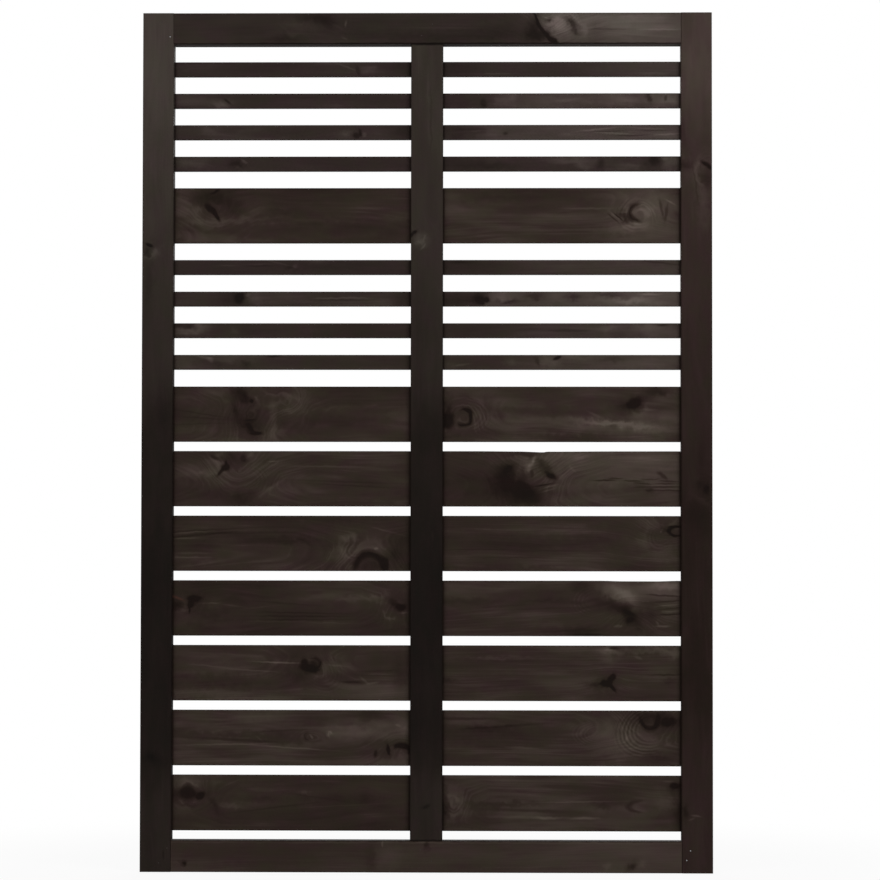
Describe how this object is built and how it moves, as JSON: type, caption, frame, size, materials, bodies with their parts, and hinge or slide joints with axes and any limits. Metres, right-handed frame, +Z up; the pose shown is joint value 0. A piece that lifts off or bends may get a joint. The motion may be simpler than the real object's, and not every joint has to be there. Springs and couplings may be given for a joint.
{
  "type": "timber fence panel",
  "caption": "Framed timber fence panel with wide boards and narrow slats let into its stiles and centre mullion.",
  "frame": {"origin": "foot of the left stile's outer side face, midway through the frame's depth", "axes": "+X along the panel from the left stile to the right one, +Y from its front to its back, +Z up"},
  "size_m": [1.195, 0.045, 1.8],
  "materials": {
    "frame_timber": "dark brown penetrating stain on planed softwood, satin, grain and knots showing through",
    "board_timber": "dark brown penetrating stain on planed softwood, satin, grain and knots showing through",
    "slat_timber": "dark brown penetrating stain on planed softwood, satin, grain and knots showing through"
  },
  "bodies": {
    "root": {"bottom_rail": "frame_timber", "left_belt_board": "board_timber", "left_low_board_1": "board_timber", "left_low_board_2": "board_timber", "left_low_board_3": "board_timber", "left_low_board_4": "board_timber", "left_low_board_5": "board_timber", "left_low_board_6": "board_timber", "left_low_board_7": "board_timber", "left_low_slat_1": "slat_timber", "left_low_slat_2": "slat_timber", "left_low_slat_3": "slat_timber", "left_low_slat_4": "slat_timber", "left_stile": "frame_timber", "left_top_slat_1": "slat_timber", "left_top_slat_2": "slat_timber", "left_top_slat_3": "slat_timber", "left_top_slat_4": "slat_timber", "mullion": "frame_timber", "right_belt_board": "board_timber", "right_low_board_1": "board_timber", "right_low_board_2": "board_timber", "right_low_board_3": "board_timber", "right_low_board_4": "board_timber", "right_low_board_5": "board_timber", "right_low_board_6": "board_timber", "right_low_board_7": "board_timber", "right_low_slat_1": "slat_timber", "right_low_slat_2": "slat_timber", "right_low_slat_3": "slat_timber", "right_low_slat_4": "slat_timber", "right_stile": "frame_timber", "right_top_slat_1": "slat_timber", "right_top_slat_2": "slat_timber", "right_top_slat_3": "slat_timber", "right_top_slat_4": "slat_timber", "top_rail": "frame_timber"}
  },
  "joints": []
}
